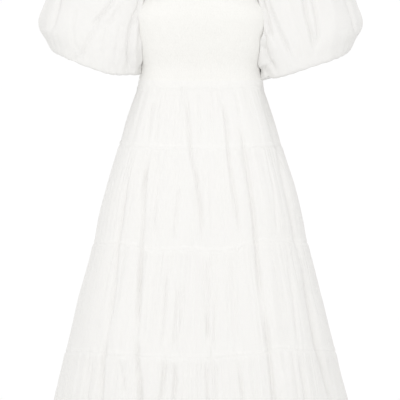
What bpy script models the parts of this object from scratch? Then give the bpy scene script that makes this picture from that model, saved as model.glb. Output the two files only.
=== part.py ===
"""A midi dress filled out as if it were worn: smocked bodice, balloon sleeves and a skirt of four gathered tiers.

Metres, +Z up. The front faces -Y, +X is to the right of the front view, and the origin is midway between
the shoulders, at their height, where a wearer holds the dress up. Every piece of cloth is a closed wall
between an outer and an inner grid of points, worked out from the sizes below.
"""

import math
from collections import namedtuple

import bmesh
import bpy
import numpy as np

# Cloth and seams
CLOTH = 0.0020
SMOCKED_CLOTH = 0.0024
SMOCK_RELIEF = 0.0026
SEAM_GAP = 0.0003

# Heights below the shoulders
UNDERARM_Z = -0.185
WAIST_Z = -0.374

# General figure: half widths and depths of the bodice at each height
Girth = namedtuple("Girth", "z half_width front back")
TORSO = (
    Girth(z=-0.374, half_width=0.1320, front=0.098, back=0.094),
    Girth(z=-0.335, half_width=0.1280, front=0.096, back=0.091),
    Girth(z=-0.290, half_width=0.1440, front=0.108, back=0.097),
    Girth(z=-0.230, half_width=0.1580, front=0.122, back=0.105),
    Girth(z=-0.185, half_width=0.1570, front=0.122, back=0.108),
)
# How much squarer than an oval the figure is at the waist and at the hem, from a little below the underarm
WAIST_SQUARENESS = 0.7
HEM_SQUARENESS = 0.4
SQUARE_WITHIN = 0.05

# Upper bodice: square neck between two shoulder straps
ARMHOLE_X = 0.132
SHOULDER_TIP_X = 0.138
SHOULDER_DROP = 0.36
SHOULDER_SEAM_Y = 0.006
STRAP_INNER_ANGLE = math.radians(40)
STRAP_COLUMNS = 5
FRONT_NECK_COLUMNS = 12
LOWER_BODICE_ROWS = 12
UPPER_BODICE_ROWS = 13
UPPER_ROW_SPREAD = 1.25
FRONT_NECK_ROW = 5
BACK_NECK_ROW = 6

# Seam lines of the skirt: each tier hangs from one line to the next
Line = namedtuple("Line", "drop half_width front back side_lift")
SKIRT_LINES = (
    Line(drop=0.000, half_width=0.1320, front=0.098, back=0.094, side_lift=0.0055),
    Line(drop=0.133, half_width=0.1730, front=0.138, back=0.134, side_lift=0.012),
    Line(drop=0.344, half_width=0.2280, front=0.183, back=0.181, side_lift=0.013),
    Line(drop=0.559, half_width=0.2880, front=0.229, back=0.230, side_lift=-0.005),
    Line(drop=0.800, half_width=0.3450, front=0.272, back=0.276, side_lift=0.000),
)
Tier = namedtuple("Tier", "name gather_pitch gather_depth swell rows")
TIERS = (
    Tier("skirt_tier_1", math.radians(10.0), 0.0045, 0.002, (0, 0.10, 0.30, 0.62, 1)),
    Tier("skirt_tier_2", math.radians(9.2), 0.0050, 0.005, (0, 0.07, 0.20, 0.45, 0.75, 1)),
    Tier("skirt_tier_3", math.radians(8.4), 0.0055, 0.001, (0, 0.07, 0.20, 0.45, 0.75, 1)),
    Tier("skirt_tier_4", math.radians(7.6), 0.0060, 0.001, (0, 0.07, 0.20, 0.45, 0.75, 1)),
)
GATHER_PEAK = 0.20
GATHER_LEFT_AT_SEAM = 0.25

# Deep folds that run through the tiers: angles from the centre front, a positive one to the right
Fold = namedtuple("Fold", "waist_deg hem_deg starts full depth")
FRONT_FOLDS = (
    Fold(waist_deg=-75, hem_deg=-68, starts=0.20, full=0.80, depth=0.009),
    Fold(waist_deg=-58, hem_deg=-43, starts=0.10, full=0.60, depth=0.011),
    Fold(waist_deg=-45, hem_deg=-22, starts=0.12, full=0.50, depth=0.014),
    Fold(waist_deg=-20, hem_deg=-11, starts=0.40, full=0.75, depth=0.010),
    Fold(waist_deg=-9, hem_deg=2, starts=0.02, full=0.45, depth=0.010),
    Fold(waist_deg=4, hem_deg=9, starts=0.45, full=0.75, depth=0.009),
    Fold(waist_deg=15, hem_deg=24, starts=0.05, full=0.40, depth=0.009),
    Fold(waist_deg=35, hem_deg=30, starts=0.10, full=0.50, depth=0.014),
    Fold(waist_deg=54, hem_deg=44, starts=0.35, full=0.80, depth=0.008),
    Fold(waist_deg=76, hem_deg=57, starts=0.10, full=0.55, depth=0.014),
)
BACK_FOLDS = (
    Fold(waist_deg=104, hem_deg=112, starts=0.15, full=0.60, depth=0.011),
    Fold(waist_deg=121, hem_deg=130, starts=0.10, full=0.50, depth=0.014),
    Fold(waist_deg=142, hem_deg=147, starts=0.35, full=0.75, depth=0.010),
    Fold(waist_deg=160, hem_deg=165, starts=0.08, full=0.50, depth=0.013),
    Fold(waist_deg=177, hem_deg=179, starts=0.40, full=0.80, depth=0.010),
    Fold(waist_deg=193, hem_deg=196, starts=0.06, full=0.45, depth=0.013),
    Fold(waist_deg=212, hem_deg=215, starts=0.30, full=0.70, depth=0.011),
    Fold(waist_deg=231, hem_deg=228, starts=0.10, full=0.50, depth=0.014),
    Fold(waist_deg=252, hem_deg=246, starts=0.20, full=0.70, depth=0.010),
)
FOLD_WIDTH = math.radians(5.0)

# Right sleeve, from the armhole to the cuff: each section meets the outline seen from the front at its outer
# and inner points, bulges over the bodice by its lap, hangs by its sag and tips its front down. The left
# sleeve sits higher inside.
Section = namedtuple("Section", "outer_x outer_z inner_x inner_z half_depth lap sag tip left_lift gather")
SLEEVE_SECTIONS = (
    Section(0.1520, 0.0060, 0.1700, -0.1930, 0.079, 0.020, 0.000, 0.000, 0.000, 0.0030),
    Section(0.1850, 0.0180, 0.1690, -0.2060, 0.096, 0.052, 0.000, 0.000, 0.000, 0.0045),
    Section(0.2320, 0.0060, 0.1660, -0.2260, 0.108, 0.068, 0.002, 0.001, 0.000, 0.0050),
    Section(0.2800, -0.0400, 0.1600, -0.2520, 0.116, 0.072, 0.004, 0.002, 0.001, 0.0050),
    Section(0.3140, -0.1050, 0.1540, -0.2790, 0.119, 0.068, 0.006, 0.003, 0.003, 0.0050),
    Section(0.3340, -0.1780, 0.1490, -0.3030, 0.118, 0.058, 0.008, 0.005, 0.006, 0.0060),
    Section(0.3500, -0.2320, 0.1440, -0.3250, 0.112, 0.046, 0.010, 0.007, 0.010, 0.0065),
    Section(0.3320, -0.2670, 0.1440, -0.3420, 0.103, 0.034, 0.012, 0.009, 0.014, 0.0060),
    Section(0.3170, -0.2910, 0.1500, -0.3530, 0.092, 0.020, 0.013, 0.010, 0.016, 0.0050),
    Section(0.2980, -0.2890, 0.1620, -0.3470, 0.079, 0.006, 0.008, 0.008, 0.012, 0.0040),
)
SLEEVE_SQUARENESS = 2.5
LEFT_LIFT_STARTS = -0.1
SLEEVE_STAND = 0.0050
BODICE_CLEARANCE = 0.0120

# Elasticated cuff inside the droop of the sleeve, and the gathered turn of cloth above it
CUFF_CENTRE = (0.232, -0.300)
CUFF_TILT = math.radians(18)
CUFF_RADIUS = 0.050
CUFF_WIDTH = 0.020
Turn = namedtuple("Turn", "above_cuff radius gather")
CUFF_TURNS = (
    Turn(above_cuff=-0.010, radius=0.0660, gather=0.0035),
    Turn(above_cuff=0.008, radius=0.0640, gather=0.0020),
    Turn(above_cuff=0.016, radius=0.0590, gather=0.0010),
    Turn(above_cuff=0.013, radius=0.0530, gather=0.0000),
)

IVORY = (0.90, 0.89, 0.86, 1.0)
SMOCKED_IVORY = (0.90, 0.885, 0.845, 1.0)
CLOTH_ROUGHNESS = 0.85


def clear_scene():
    for obj in list(bpy.data.objects):
        bpy.data.objects.remove(obj, do_unlink=True)


def make_material(name, colour):
    material = bpy.data.materials.new(name)
    material.use_nodes = True
    shader = material.node_tree.nodes["Principled BSDF"]
    shader.inputs["Base Color"].default_value = colour
    shader.inputs["Roughness"].default_value = CLOTH_ROUGHNESS
    shader.inputs["Metallic"].default_value = 0.0
    material.diffuse_color = colour
    return material


def smooth_value(places, values, at):
    """A smooth curve through a table's values, read at one place."""
    slopes = np.gradient(values, places)
    i = int(np.clip(np.searchsorted(places, at) - 1, 0, len(places) - 2))
    span = places[i + 1] - places[i]
    t = (at - places[i]) / span
    rise = values[i + 1] - values[i]
    bend_in = slopes[i] * span - rise
    bend_out = rise - slopes[i + 1] * span
    return values[i] + rise * t + t * (1 - t) * (bend_in * (1 - t) + bend_out * t)


def ease(x):
    x = min(1.0, max(0.0, x))
    return x * x * (3 - 2 * x)


def unit(vector):
    return vector / np.linalg.norm(vector)


def cloth_wall(name, outer, inner, material, collection, closed=False, gone=(), diamonds=False):
    """A closed wall between two grids of points.

    closed joins the last column to the first, gone drops cells, and diamonds splits the outer cells between
    their even points, which stand proud.
    """
    rows, columns = outer.shape[:2]
    mesh = bpy.data.meshes.new(name)
    bm = bmesh.new()
    out = [[bm.verts.new(p) for p in row] for row in outer]
    ins = [[bm.verts.new(p) for p in row] for row in inner]
    last = columns if closed else columns - 1
    cells = [(r, c) for r in range(rows - 1) for c in range(last) if (r, c) not in gone]
    edges = set()
    for r, c in cells:
        ring = [(r, c), (r, (c + 1) % columns), (r + 1, (c + 1) % columns), (r + 1, c)]
        shapes = [ring]
        if diamonds:
            turned = ring if (r + c) % 2 else ring[1:] + ring[:1]
            shapes = [turned[:3], turned[2:] + turned[:1]]
        for shape in shapes:
            bm.faces.new([out[i][j] for i, j in shape])
        bm.faces.new([ins[i][j] for i, j in reversed(ring)])
        edges.update(zip(ring, ring[1:] + ring[:1]))
    for a, b in edges:
        if (b, a) not in edges:
            bm.faces.new([out[b[0]][b[1]], out[a[0]][a[1]], ins[a[0]][a[1]], ins[b[0]][b[1]]])
    bmesh.ops.delete(bm, geom=[v for v in bm.verts if not v.link_faces], context="VERTS")
    bmesh.ops.recalc_face_normals(bm, faces=bm.faces)
    bm.to_mesh(mesh)
    bm.free()
    mesh.materials.append(material)
    obj = bpy.data.objects.new(name, mesh)
    collection.objects.link(obj)
    return obj


def torso_girth(z):
    """Half width, front depth and back depth of the figure at one height."""
    table = sorted(TORSO)
    heights = [g.z for g in table]
    return [
        smooth_value(heights, [g[k] for g in table], z) for k in range(1, len(table[0]))
    ]


def ring_point(half_width, depth, angle, z, power):
    """A point of a level oval, which a power above 2 makes squarer."""
    stretch = (abs(math.sin(angle)) ** power + abs(math.cos(angle)) ** power) ** (-1 / power)
    return np.array((half_width * math.sin(angle) * stretch, -depth * math.cos(angle) * stretch, z))


def ring_normal(half_width, depth, angle, power):
    """The level direction out of such an oval."""
    step = 1e-4
    ahead = ring_point(half_width, depth, angle + step, 0, power)
    along = ahead - ring_point(half_width, depth, angle - step, 0, power)
    return unit(np.array((along[1], -along[0], 0)))


def torso_power(z):
    return 2 + WAIST_SQUARENESS * ease((UNDERARM_Z - z) / SQUARE_WITHIN)


def skirt_power(drop):
    return 2 + WAIST_SQUARENESS + (HEM_SQUARENESS - WAIST_SQUARENESS) * drop / SKIRT_LINES[-1].drop


def armhole_x(rise):
    """Distance from the centre line to the armhole, from the underarm, rise 0, to the shoulder, rise 1."""
    underarm = torso_girth(UNDERARM_Z)[0]
    return (
        ARMHOLE_X
        + (underarm - ARMHOLE_X) * (1 - rise) ** 4
        + (SHOULDER_TIP_X - ARMHOLE_X) * rise**4
    )


def chest_point(column, rise, face):
    """A point of the upper bodice, which leans back over the shoulder; face is -1 in front and 1 behind."""
    half_width, front, back = torso_girth(UNDERARM_Z)
    depth = front if face < 0 else back
    x = armhole_x(rise) * math.sin(column)
    y = face * depth * math.sqrt(max(0.0, 1 - (x / half_width) ** 2))
    turn = rise * math.pi / 2
    neck_x = SHOULDER_TIP_X * math.sin(STRAP_INNER_ANGLE)
    shoulder_z = -SHOULDER_DROP * max(0.0, abs(x) - neck_x)
    return np.array(
        (
            x,
            SHOULDER_SEAM_Y * (1 - math.cos(turn)) + y * math.cos(turn),
            UNDERARM_Z + (shoulder_z - UNDERARM_Z) * math.sin(turn),
        )
    )


def chest_normal(column, rise, face):
    """The direction out of the upper bodice."""
    step = 1e-4
    across = chest_point(column + step, rise, face) - chest_point(column - step, rise, face)
    low, high = max(0.0, rise - step), min(1.0, rise + step)
    along = chest_point(column, high, face) - chest_point(column, low, face)
    return unit(np.cross(across, along) * -face)


def upper_rise(row):
    return (row / UPPER_BODICE_ROWS) ** UPPER_ROW_SPREAD


def bodice_columns():
    """Column angles from side seam to side seam, with one on the inner edge of each strap."""
    strap = np.linspace(STRAP_INNER_ANGLE, math.pi / 2, STRAP_COLUMNS + 1)
    neck = np.linspace(-STRAP_INNER_ANGLE, STRAP_INNER_ANGLE, FRONT_NECK_COLUMNS + 1)
    return [*(-strap[:0:-1]), *neck, *strap[1:]]


def side_lift(line, angle):
    """How much higher a seam runs at the sides than at the centre."""
    return line.side_lift * math.sin(angle) ** 2


def bodice_panel(name, face, neck_row, material, collection):
    """Front or back: a smocked panel from the waist to the shoulder seams, with a square neck."""
    columns = bodice_columns()
    base, out = [], []
    for row in range(LOWER_BODICE_ROWS):
        z = WAIST_Z + (UNDERARM_Z - WAIST_Z) * row / LOWER_BODICE_ROWS
        half_width, front, back = torso_girth(z)
        depth = front if face < 0 else back
        level = side_lift(SKIRT_LINES[0], math.pi / 2) * (1 - row / LOWER_BODICE_ROWS)
        seam = SEAM_GAP / 2 if row == 0 else 0
        base.append([])
        out.append([])
        for angle in columns:
            power = torso_power(z)
            point = ring_point(half_width, depth, angle, z + seam + level * math.sin(angle) ** 2, power)
            normal = ring_normal(half_width, depth, angle, power)
            base[-1].append(point * (1, -face, 1))
            out[-1].append(normal * (1, -face, 1))
    for row in range(UPPER_BODICE_ROWS + 1):
        rise = upper_rise(row)
        base.append([chest_point(angle, rise, face) for angle in columns])
        out.append([armhole_direction(angle, rise, face) for angle in columns])
    base, out = np.array(base), np.array(out)
    base[:, :, 1] += face * SEAM_GAP / 2
    neck = LOWER_BODICE_ROWS + neck_row
    middle = range(STRAP_COLUMNS, STRAP_COLUMNS + FRONT_NECK_COLUMNS)
    gone = {(r, c) for r in range(neck, len(base) - 1) for c in middle}
    relief = smocking_relief(len(base), len(columns), neck, middle)
    outer = base + out * (SMOCKED_CLOTH + relief)[:, :, None]
    return cloth_wall(name, outer, base, material, collection, gone=gone, diamonds=True)


def armhole_direction(angle, rise, face):
    """The direction of the wall's thickness on the upper bodice: level at the underarm row, then square to the cloth."""
    if rise == 0:
        half_width, front, back = torso_girth(UNDERARM_Z)
        depth = front if face < 0 else back
        return ring_normal(half_width, depth, angle, torso_power(UNDERARM_Z)) * (1, -face, 1)
    inward = math.copysign(min(abs(angle), math.pi / 2 - 1e-3), angle)
    return chest_normal(inward, rise, face)


def smocking_relief(rows, columns, neck, middle):
    """Diamonds of smocking: every other crossing of rows and gathers stands proud, and the edges stay plain."""
    relief = np.zeros((rows, columns))
    for r in range(1, rows - 1):
        for c in range(1, columns - 1):
            beside_neck = r >= neck and middle.start <= c <= middle.stop
            if (r + c) % 2 == 0 and not beside_neck:
                relief[r, c] = SMOCK_RELIEF
    return relief


def armhole_ring():
    """The right armhole's edge from the shoulder, down the front, under the arm and up the back, with its directions."""
    rows = [upper_rise(row) for row in range(UPPER_BODICE_ROWS, 0, -1)]
    stations = [(rise, -1) for rise in rows] + [(0.0, 1)] + [(rise, 1) for rise in rows[:0:-1]]
    edge = [chest_point(math.pi / 2, rise, face) for rise, face in stations]
    out = [armhole_direction(math.pi / 2, rise, face) for rise, face in stations]
    out[0] = unit(out[0] + armhole_direction(math.pi / 2, 1.0, 1))
    return np.array(edge), np.array(out)


def bodice_free(point):
    """Moves a sleeve point out of the bodice's side, so that the sleeve lies beside it."""
    if point[2] > UNDERARM_Z:
        return point
    half_width, front, back = torso_girth(max(point[2], WAIST_Z))
    depth = front if point[1] < 0 else back
    power = torso_power(point[2])
    across, along = abs(point[0]) / (half_width + BODICE_CLEARANCE), abs(point[1]) / (depth + BODICE_CLEARANCE)
    reach = (across**power + along**power) ** (1 / power)
    if reach < 1:
        point = point * (1 / reach, 1 / reach, 1)
    return point


def rounded(value):
    """The cosine or sine of a squared-off oval."""
    return math.copysign(abs(value) ** (2 / SLEEVE_SQUARENESS), value)


def sleeve_ring(section, turns, side):
    """One section of a sleeve: an oval between its outer and inner points on the front outline."""
    ring = []
    for turn in turns:
        across, along = rounded(math.cos(turn)), rounded(math.sin(turn))
        x = (section.outer_x + section.inner_x) / 2 + across * (section.outer_x - section.inner_x) / 2
        z = (section.outer_z + section.inner_z) / 2 + across * (section.outer_z - section.inner_z) / 2
        bulge = abs(math.sin(turn))
        z -= section.sag * bulge + section.tip * along
        if side < 0:
            z += section.left_lift * ease((LEFT_LIFT_STARTS - across) / (1 + LEFT_LIFT_STARTS))
        point = np.array((x - section.lap * bulge, -section.half_depth * along, z))
        ring.append(bodice_free(point))
    return ring


def cuff_ring(above, radius, turns):
    """A circle round the cuff's axis, at a height above the cuff's lower edge."""
    up = np.array((-math.sin(CUFF_TILT), 0, math.cos(CUFF_TILT)))
    side = np.array((math.cos(CUFF_TILT), 0, math.sin(CUFF_TILT)))
    centre = np.array((CUFF_CENTRE[0], 0, CUFF_CENTRE[1])) + up * above
    return [
        centre + radius * (side * math.cos(t) - np.array((0, 1, 0)) * math.sin(t)) for t in turns
    ]


def grid_normals(points):
    """Directions out of a tube of points whose rows are closed rings."""
    across = np.roll(points, -1, 1) - np.roll(points, 1, 1)
    along = np.gradient(points, axis=0)
    normals = np.cross(across, along)
    return normals / np.linalg.norm(normals, axis=2, keepdims=True)


def sleeve(name, side, material, collection):
    """A balloon sleeve, gathered at the armhole and again above the cuff; side is 1 on the right and -1 on the left."""
    edge, edge_out = armhole_ring()
    columns = len(edge)
    turns = [2 * math.pi * c / columns for c in range(columns)]
    away = np.cross(edge_out, np.roll(edge, -1, 0) - np.roll(edge, 1, 0))
    away /= np.linalg.norm(away, axis=1, keepdims=True)
    seam = edge + away * (SEAM_GAP + CLOTH)
    rings = [seam, seam + edge_out * SLEEVE_STAND]
    rings += [sleeve_ring(section, turns, side) for section in SLEEVE_SECTIONS]
    rings += [cuff_ring(CUFF_WIDTH + t.above_cuff, t.radius, turns) for t in CUFF_TURNS]
    rings.append(cuff_ring(CUFF_WIDTH + SEAM_GAP, CUFF_RADIUS, turns))
    rings = np.array(rings)
    out = grid_normals(rings)
    gather = [0.0, 0.0, *(s.gather for s in SLEEVE_SECTIONS), *(t.gather for t in CUFF_TURNS), 0.0]
    trough = np.array([(c + (side < 0)) % 2 for c in range(columns)])
    rings -= out * np.array(gather)[:, None, None] * trough[None, :, None]
    out[0] = out[1] = -away
    out[-1] = np.array(cuff_ring(0, 1, turns)) - np.array(cuff_ring(0, 0, turns))
    mirror = np.array((side, 1, 1))
    return cloth_wall(
        name, (rings + out * CLOTH) * mirror, rings * mirror, material, collection, closed=True
    )


def cuff(name, side, material, collection):
    """The elasticated band that closes the sleeve on the arm."""
    columns = len(armhole_ring()[0])
    turns = [2 * math.pi * c / columns for c in range(columns)]
    heights = (0.0, CUFF_WIDTH)
    mirror = np.array((side, 1, 1))
    outer = np.array([cuff_ring(h, CUFF_RADIUS + CLOTH, turns) for h in heights]) * mirror
    inner = np.array([cuff_ring(h, CUFF_RADIUS, turns) for h in heights]) * mirror
    return cloth_wall(name, outer, inner, material, collection, closed=True)


def fold_angle(fold, share):
    return math.radians(fold.waist_deg + (fold.hem_deg - fold.waist_deg) * share)


def fold_inset(folds, angle, share):
    """How far the deep folds draw the skirt in, at one angle and share of the drop."""
    inset = 0.0
    for fold in folds:
        depth = fold.depth * ease((share - fold.starts) / (fold.full - fold.starts))
        inset += depth * math.exp(-(((angle - fold_angle(fold, share)) / FOLD_WIDTH) ** 2))
    return inset


def gather_share(t):
    """How open the gathers of a tier are, from the seam above, t 0, to the one below, t 1."""
    if t < GATHER_PEAK:
        return t / GATHER_PEAK
    return 1 - (1 - GATHER_LEFT_AT_SEAM) * (t - GATHER_PEAK) / (1 - GATHER_PEAK)


def gather_stations(folds, ends, pitch):
    """For each stretch between folds, how many gathers it takes."""
    middle = [ends[0], *((f.waist_deg + f.hem_deg) / 2 for f in folds), ends[1]]
    widths = np.diff(np.radians(middle))
    return [max(1, round(width / pitch)) for width in widths]


def tier_angles(folds, ends, counts, share):
    """Column angles at one height, which follow the folds as they lean."""
    stops = [math.radians(ends[0]), *(fold_angle(f, share) for f in folds), math.radians(ends[1])]
    angles = []
    for start, stop, count in zip(stops, stops[1:], counts):
        angles += list(np.linspace(start, stop, 2 * count, endpoint=False))
    return [*angles, stops[-1]]


def skirt_panel(tier_number, part, folds, ends, face, material, collection):
    """Half of one tier, gathered onto the seam above it, with the deep folds running through."""
    tier = TIERS[tier_number]
    top, bottom = SKIRT_LINES[tier_number], SKIRT_LINES[tier_number + 1]
    drops = [line.drop for line in SKIRT_LINES]
    counts = gather_stations(folds, ends, tier.gather_pitch)
    outer, inner = [], []
    for t in tier.rows:
        drop = top.drop + (bottom.drop - top.drop) * t
        share = drop / drops[-1]
        power = skirt_power(drop)
        half_width = smooth_value(drops, [line.half_width for line in SKIRT_LINES], drop)
        depths = [line.front if face < 0 else line.back for line in SKIRT_LINES]
        swell = tier.swell * math.sin(math.pi * t)
        half_width += swell
        depth = smooth_value(drops, depths, drop) + swell
        gap = SEAM_GAP / 2 * (1 if t == 1 else -1 if t == 0 else 0)
        outer.append([])
        inner.append([])
        angles = tier_angles(folds, ends, counts, share)
        for column, angle in enumerate(angles):
            lift = side_lift(top, angle) * (1 - t) + side_lift(bottom, angle) * t
            normal = ring_normal(half_width, depth, angle, power)
            at_seam = column in (0, len(angles) - 1)
            trough = 0 if at_seam else (column % 2 == 0) * gather_share(t) * tier.gather_depth
            inset = 0 if at_seam else fold_inset(folds, angle, share)
            point = ring_point(half_width, depth, angle, WAIST_Z - drop + lift + gap, power)
            outer[-1].append(point - normal * (trough + inset))
            inner[-1].append(point - normal * (trough + inset + CLOTH))
    outer, inner = np.array(outer), np.array(inner)
    for grid in (outer, inner):
        grid[:, :, 1] += face * SEAM_GAP / 2
    return cloth_wall(f"{tier.name}_{part}", outer, inner, material, collection)


def build_dress():
    clear_scene()
    collection = bpy.data.collections.new("midi_dress")
    bpy.context.scene.collection.children.link(collection)
    smocked = make_material("smocked_cotton", SMOCKED_IVORY)
    plain = make_material("plain_cotton", IVORY)
    bodice_panel("bodice_front", -1, FRONT_NECK_ROW, smocked, collection)
    bodice_panel("bodice_back", 1, BACK_NECK_ROW, smocked, collection)
    for word, side in (("right", 1), ("left", -1)):
        sleeve(f"sleeve_{word}", side, plain, collection)
        cuff(f"cuff_{word}", side, plain, collection)
    for number in range(len(TIERS)):
        skirt_panel(number, "front", FRONT_FOLDS, (-90, 90), -1, plain, collection)
        skirt_panel(number, "back", BACK_FOLDS, (90, 270), 1, plain, collection)


build_dress()
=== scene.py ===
"""The midi dress as it looks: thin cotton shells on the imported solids, with folds, gathers and smocking."""

import math
from collections import namedtuple

import bmesh
import bpy
import numpy as np
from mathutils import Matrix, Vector


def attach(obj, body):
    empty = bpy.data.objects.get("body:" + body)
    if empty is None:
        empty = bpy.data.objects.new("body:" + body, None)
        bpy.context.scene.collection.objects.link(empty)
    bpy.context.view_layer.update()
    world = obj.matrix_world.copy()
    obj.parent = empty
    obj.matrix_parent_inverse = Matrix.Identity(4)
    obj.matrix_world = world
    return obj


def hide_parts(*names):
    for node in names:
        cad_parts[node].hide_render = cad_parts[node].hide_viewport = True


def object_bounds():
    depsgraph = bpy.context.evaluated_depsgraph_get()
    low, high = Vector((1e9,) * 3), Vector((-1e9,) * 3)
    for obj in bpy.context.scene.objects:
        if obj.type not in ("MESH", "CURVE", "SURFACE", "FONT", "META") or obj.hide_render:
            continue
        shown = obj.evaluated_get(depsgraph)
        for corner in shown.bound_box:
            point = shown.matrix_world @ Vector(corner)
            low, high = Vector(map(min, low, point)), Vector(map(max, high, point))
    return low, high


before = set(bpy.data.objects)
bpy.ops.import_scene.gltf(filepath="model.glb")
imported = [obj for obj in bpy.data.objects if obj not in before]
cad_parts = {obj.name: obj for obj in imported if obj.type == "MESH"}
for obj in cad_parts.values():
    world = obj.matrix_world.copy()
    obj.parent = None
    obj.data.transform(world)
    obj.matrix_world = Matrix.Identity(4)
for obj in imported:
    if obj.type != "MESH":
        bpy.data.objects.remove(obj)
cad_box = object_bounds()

# The photograph's frame: one pixel is SCALE metres at the dress, and the mid line is at MID_X
SCALE = 0.00215
MID_X = 200.7
TOP_ROW = 85.0
CAMERA_DISTANCE = 4.2
FRAME_PIXELS = 400
MIDDLE_ROW = FRAME_PIXELS / 2 + TOP_ROW

# The sizes of the solids, apart from the waist, which is squarer here
UNDERARM_Z = -0.185
WAIST_Z = -0.374
Girth = namedtuple("Girth", "z half_width front back")
TORSO = (
    Girth(z=-0.374, half_width=0.1320, front=0.098, back=0.094),
    Girth(z=-0.335, half_width=0.1280, front=0.096, back=0.091),
    Girth(z=-0.290, half_width=0.1440, front=0.108, back=0.097),
    Girth(z=-0.230, half_width=0.1580, front=0.122, back=0.105),
    Girth(z=-0.185, half_width=0.1570, front=0.122, back=0.108),
)
WAIST_SQUARENESS = 1.4
HEM_SQUARENESS = 0.4
ARMHOLE_X = 0.132
SHOULDER_TIP_X = 0.138
SHOULDER_DROP = 0.36
SHOULDER_SEAM_Y = 0.006
STRAP_INNER_ANGLE = math.radians(40)
ARMHOLE_POWER = 4
RISE_POWER = 1.25
FRONT_NECK_RISE = (5 / 13) ** RISE_POWER
BACK_NECK_RISE = (6 / 13) ** RISE_POWER

Line = namedtuple("Line", "drop half_width front back side_lift")
SKIRT_LINES = (
    Line(drop=0.000, half_width=0.1320, front=0.098, back=0.094, side_lift=0.0055),
    Line(drop=0.133, half_width=0.1730, front=0.138, back=0.134, side_lift=0.012),
    Line(drop=0.344, half_width=0.2280, front=0.183, back=0.181, side_lift=0.013),
    Line(drop=0.559, half_width=0.2880, front=0.229, back=0.230, side_lift=-0.005),
    Line(drop=0.800, half_width=0.3450, front=0.272, back=0.276, side_lift=0.000),
)
TIER_NAMES = ("skirt_tier_1", "skirt_tier_2", "skirt_tier_3", "skirt_tier_4")
TIER_SWELLS = (0.002, 0.005, 0.001, 0.001)

# Folds and small ridges of the skirt's front by pixel of the photograph, with depth in metres, which is positive
# for a groove, and width in pixels
Crease = namedtuple("Crease", "path depth width")
FRONT_CREASES = (
    Crease(((185.5, 88), (187.5, 110), (190, 146), (191.5, 158), (197, 180), (200.5, 210), (202, 246)),
           0.0048, 1.7),
    Crease(((201, 252), (204, 285), (207, 320), (210, 352), (214, 399), (217, 460)), 0.0028, 1.6),
    Crease(((216, 88), (222, 105), (226, 122), (228, 150), (231, 172), (236, 205), (242, 246)), 0.0048, 1.7),
    Crease(((241, 120), (245, 155), (250, 185), (254, 215), (256.5, 245), (260, 285), (266, 320)),
           0.0075, 2.1),
    Crease(((264, 308), (269.5, 350), (272, 372), (275, 399), (279, 460)), 0.0085, 2.3),
    Crease(((147, 150), (144, 190), (142.5, 225), (140.5, 250), (139, 285), (136.5, 350)), 0.0065, 2.0),
    Crease(((137, 335), (137, 362), (139, 380), (140, 399), (141, 460)), 0.0075, 2.2),
    Crease(((130, 172), (122, 210), (117, 243), (113, 290), (105, 345)), 0.0060, 2.0),
    Crease(((106, 335), (102, 362), (100, 399), (96, 460)), 0.0070, 2.2),
    Crease(((262, 88), (271, 115), (279, 146), (282, 165), (291, 205), (298, 243), (305, 275)), 0.0090, 2.2),
    Crease(((304, 262), (313, 310), (319, 345), (328, 375), (337, 410), (346, 460)), 0.0140, 2.8),
    Crease(((178, 286), (175.5, 325), (172.5, 354)), 0.0030, 1.4),
    Crease(((184, 285), (180, 320), (174, 354)), 0.0034, 1.4),
    Crease(((166, 270), (165, 310), (161, 352)), 0.0028, 1.5),
    Crease(((207, 254), (208.5, 300), (206.5, 352)), 0.0036, 1.4),
    Crease(((215, 290), (214.5, 320), (213, 354)), 0.0030, 1.3),
    Crease(((165, 358), (163, 380), (160, 399), (156, 460)), 0.0055, 1.9),
    Crease(((173, 358), (175.5, 380), (173.5, 399), (171, 460)), 0.0045, 1.7),
    Crease(((205, 358), (208, 399), (212, 460)), 0.0050, 1.8),
    Crease(((217, 360), (216, 399), (219, 460)), 0.0036, 1.6),
    Crease(((119, 358), (123, 380), (125, 399)), 0.0030, 1.6),
    Crease(((238, 360), (243, 399), (247, 460)), 0.0040, 1.8),
    Crease(((299, 356), (305, 385), (310, 420), (315, 460)), 0.0050, 2.0),
    Crease(((92, 358), (86, 390), (78, 460)), 0.0045, 2.0),
    Crease(((160, 160), (156, 200), (155, 243)), 0.0028, 1.4),
    Crease(((179, 186), (175, 222), (173, 246)), 0.0030, 1.4),
    Crease(((160, 92), (158, 120), (156, 144)), 0.0026, 1.3),
    Crease(((151, 98), (148, 142)), 0.0024, 1.3),
    Crease(((236, 92), (240, 118)), 0.0024, 1.3),
    Crease(((268, 160), (274, 190), (278, 236)), 0.0028, 1.5),
    Crease(((232, 258), (234, 300), (238, 350)), 0.0024, 1.5),
    Crease(((288, 262), (294, 300), (299, 348)), 0.0030, 1.7),
    Crease(((169, 90), (167.5, 144)), -0.0022, 2.6),
    Crease(((195, 90), (197, 144)), -0.0030, 3.2),
    Crease(((207, 160), (209, 240)), -0.0026, 3.4),
    Crease(((162, 152), (164, 182)), -0.0024, 2.6),
    Crease(((266, 255), (272, 300), (277, 345)), -0.0036, 5.0),
    Crease(((148, 258), (147, 345)), -0.0030, 4.2),
    Crease(((222, 262), (226, 345)), -0.0026, 5.0),
    Crease(((285, 365), (296, 460)), -0.0040, 6.0),
    Crease(((152, 365), (148, 460)), -0.0034, 4.5),
    Crease(((189, 365), (191, 460)), -0.0034, 5.0),
    Crease(((228, 365), (232, 460)), -0.0034, 5.0),
)
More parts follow.
